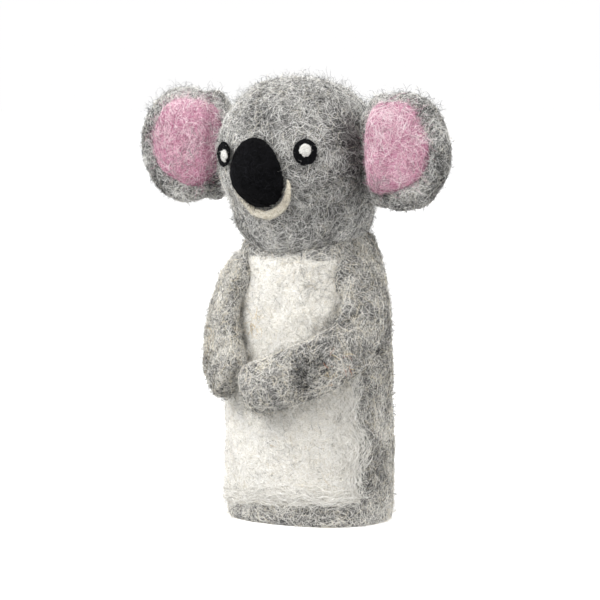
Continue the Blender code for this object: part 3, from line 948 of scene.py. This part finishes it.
def make_patch(sleeve, cream):
    """The belly layer: an uneven skin with a raised edge."""
    tree = tree_of(sleeve)
    low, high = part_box("belly_patch")

    def place(u, v):
        wobble = noise.noise(Vector((u * 2.0, v * 3.0, 5.0)))
        rise = (v + 1) / 2
        angle = math.radians(u * (68.0 - 9.0 * rise) + (2.5 + 2.0 * (1 - rise)) * wobble)
        slant = -1.1 * MM * (1.0 - rise) ** 4 * (1.0 - u)
        height = low.z + (high.z - low.z) * rise + 0.9 * MM * wobble + slant
        away = direction(math.degrees(angle), 0.0)
        outside = Vector((SLEEVE_AXIS.x, SLEEVE_AXIS.y, height)) + away * OUTSIDE_REACH * MM
        point, normal, _, _ = tree.ray_cast(outside, -away)
        return point, normal

    def lift(u, v):
        edge = max(abs(u), abs(v))
        body = 0.75 * math.sqrt(max(1.0 - edge ** 14, 0.0))
        lump = 0.3 * noise.noise(Vector((u * 4.0, v * 6.0, 1.0)))
        return (0.1 + body + lump * (1.0 - edge ** 8)) * MM

    patch = skin("belly_felt", cream, 56, 64, place, lift, 0.3 * MM)
    join = riding("body")
    join(patch)
    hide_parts("belly_patch")
    return patch, join, place


def cover_patch(random, patch, sleeve, join, place):
    """The belly's wool, and the rovings that finish its side and bottom edges."""
    spots = dark_near(BELLY_SPOTS)
    wool("belly_wool", patch, BELLY_FIBRES, BELLY_MIX, join, random, over=[sleeve], length=4.8,
         height=0.35, spread=1.0, accept=facing_out, curl=0.35, hairs=0.5, hair_length=1.4, hair_darker=0.06,
         shade=lambda points: spots(points) - BELLY_LIGHTER, clumping=0.35)

    tuft("belly_ochre", patch, (-6.5, -13.5, 47), 4.0, 26, OCHRE_MIX, join, random)

    def wander(share, kind):
        return 0.06 * noise.noise(Vector((share * 5.0, kind, 0.5)))

    edges = [
        ("side", 520, lambda s, w: (0.95 + 0.10 * w + wander(s, 1.0), -0.95 + 1.1 * s)),
        ("hem", 520, lambda s, w: (-0.95 + 1.9 * s, -0.95 + 0.06 * w + wander(s, 3.0))),
        ("inner_side", 160, lambda s, w: (0.80 + 0.07 * w + wander(s, 5.0), -0.9 + 0.7 * s)),
    ]
    for name, count, route in edges:
        paths = np.empty((count, LYING_POINTS, 3))
        tops = np.empty((count, LYING_POINTS, 3))
        for i in range(count):
            start, across = random.random(), random.normal(0.0, 0.5)
            reach = random.uniform(0.05, 0.16) * random.choice((-1.0, 1.0))
            rise = random.uniform(0.95, 1.6)
            for k in range(LYING_POINTS):
                share = k / (LYING_POINTS - 1)
                along = min(max(start + reach * share, 0.0), 1.0)
                across += random.normal(0.0, 0.2)
                point, normal = place(*route(along, across))
                bow = math.sin(math.pi * share) ** 0.5
                paths[i, k] = point + normal * (rise * bow * MM)
                tops[i, k] = normal
        spin_tubes(f"belly_{name}_roving", paths, tops, STRAND_RADIUS, paths[:, 0], STRAND_MIX, join, random,
                   0.0, None)


def form_middle(form):
    """The mean of a form's vertices."""
    return sum((vertex.co for vertex in form.verts), Vector()) / len(form.verts)


def shape_nose(form):
    """A little taller, upwards."""
    low = min(vertex.co.z for vertex in form.verts)
    for vertex in form.verts:
        vertex.co.z = low + (vertex.co.z - low) * NOSE_STRETCH


def shape_mouth(form):
    """Its right end and its top sink into the head's wool, and its left half is fuller and lower."""
    for vertex in form.verts:
        sunk = min(max((-1.5 * MM - vertex.co.x) / (4 * MM), 0.0), 1.0)
        sunk += 0.6 * min(max((vertex.co.z - 78 * MM) / (6 * MM), 0.0), 1.0)
        vertex.co.y += 1.6 * MM * sunk
        if vertex.co.x > 0.0:
            vertex.co.y -= 0.3 * MM
            vertex.co.z -= 0.35 * MM


def shape_eye(form):
    """Lifted a little out of the head's wool."""
    low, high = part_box("head")
    away = (form_middle(form) - (low + high) / 2).normalized()
    for vertex in form.verts:
        vertex.co += away * EYE_LIFT


def shape_dot(form):
    """Lifted with its eye; the dot on the koala's right eye sits nearer the nose, forward and lower."""
    shift = DOT_SHIFT if form_middle(form).x < 0.0 else Vector()
    shape_eye(form)
    for vertex in form.verts:
        vertex.co += shift


FACE_CHANGES = {
    "nose": shape_nose,
    "mouth": shape_mouth,
    "left_eye": shape_eye,
    "right_eye": shape_eye,
    "left_eye_highlight": shape_dot,
    "right_eye_highlight": shape_dot,
}


def make_face(random, head):
    """Nose, mouth, eyes and the white dots on the eyes; their wool spreads a little onto the head."""
    black = felt_material("black_felt", (0.002, 0.002, 0.0025), (0.005, 0.005, 0.006), bump=0.5, sheen=0.0)
    white = felt_material("white_felt", (0.45, 0.44, 0.42), (0.85, 0.84, 0.80))
    ivory = felt_material("ivory_felt", (0.40, 0.36, 0.28), (0.80, 0.75, 0.64))
    low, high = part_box("nose")
    nose_middle = np.array((low + high) / 2)

    def round_nose(points):
        return np.cross(points - nose_middle, (0.0, -1.0, 0.0))

    parts = [  # node, felt, wool, fibres, slot, and the wool's length, height and spread
        ("nose", black, BLACK_MIX, 2200, "nose_wool", 3.4, 0.22, 1.2),
        ("mouth", ivory, MOUTH_MIX, 900, "mouth_wool", 2.2, 0.35, 0.4),
        ("left_eye", black, BLACK_MIX, 420, "eye_wool", 2.5, 0.2, 2.0),
        ("right_eye", black, BLACK_MIX, 420, "eye_wool", 2.5, 0.2, 2.0),
        ("left_eye_highlight", white, DOT_MIX, 240, "highlight_wool", 0.9, 0.3, 2.0),
        ("right_eye_highlight", white, DOT_MIX, 240, "highlight_wool", 0.9, 0.3, 2.0),
    ]
    for node, material, mix, count, slot, length, height, spread in parts:
        form = node_form(node)
        FACE_CHANGES[node](form)
        piece = felt_up(f"{node}_felt", form, material, FACE_VOXEL, 3, FACE_LUMPS, inset=0.0)
        join = riding("head")
        flow = round_nose if node == "mouth" else None
        wool(f"{node}_wool", piece, count, mix, join, random, over=[head], length=length, height=height,
             flow=flow, spread=spread, swirl=0.0 if flow else 1.0, hairs=0.4, hair_length=0.45 * length,
             hair_darker=0.0)
        join(piece)
        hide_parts(node)


def make_puppet():
    """Build every piece."""
    grey = felt_material("grey_felt", (0.03, 0.03, 0.03), (0.46, 0.45, 0.43), (0.05, 0.05, 0.05), 0.55)
    pink = felt_material("pink_felt", (0.26, 0.09, 0.15), (0.62, 0.38, 0.46))
    cream = felt_material("cream_felt", (0.50, 0.475, 0.42), (0.84, 0.82, 0.77))
    sleeve, sleeve_join = make_sleeve(grey)
    patch, patch_join, patch_place = make_patch(sleeve, cream)
    cover_sleeve(np.random.default_rng(SEED + 1), sleeve, patch, sleeve_join)
    cover_patch(np.random.default_rng(SEED + 2), patch, sleeve, patch_join, patch_place)
    head = make_head(np.random.default_rng(SEED + 3), grey)
    make_neck(grey)
    make_face(np.random.default_rng(SEED + 4), head)
    for number, side in enumerate(("left", "right")):
        make_ear(side, np.random.default_rng(SEED + 10 + number), grey, pink)
        make_arm(side, np.random.default_rng(SEED + 20 + number), grey)


add_camera()
add_lights()
add_backdrop()
make_puppet()
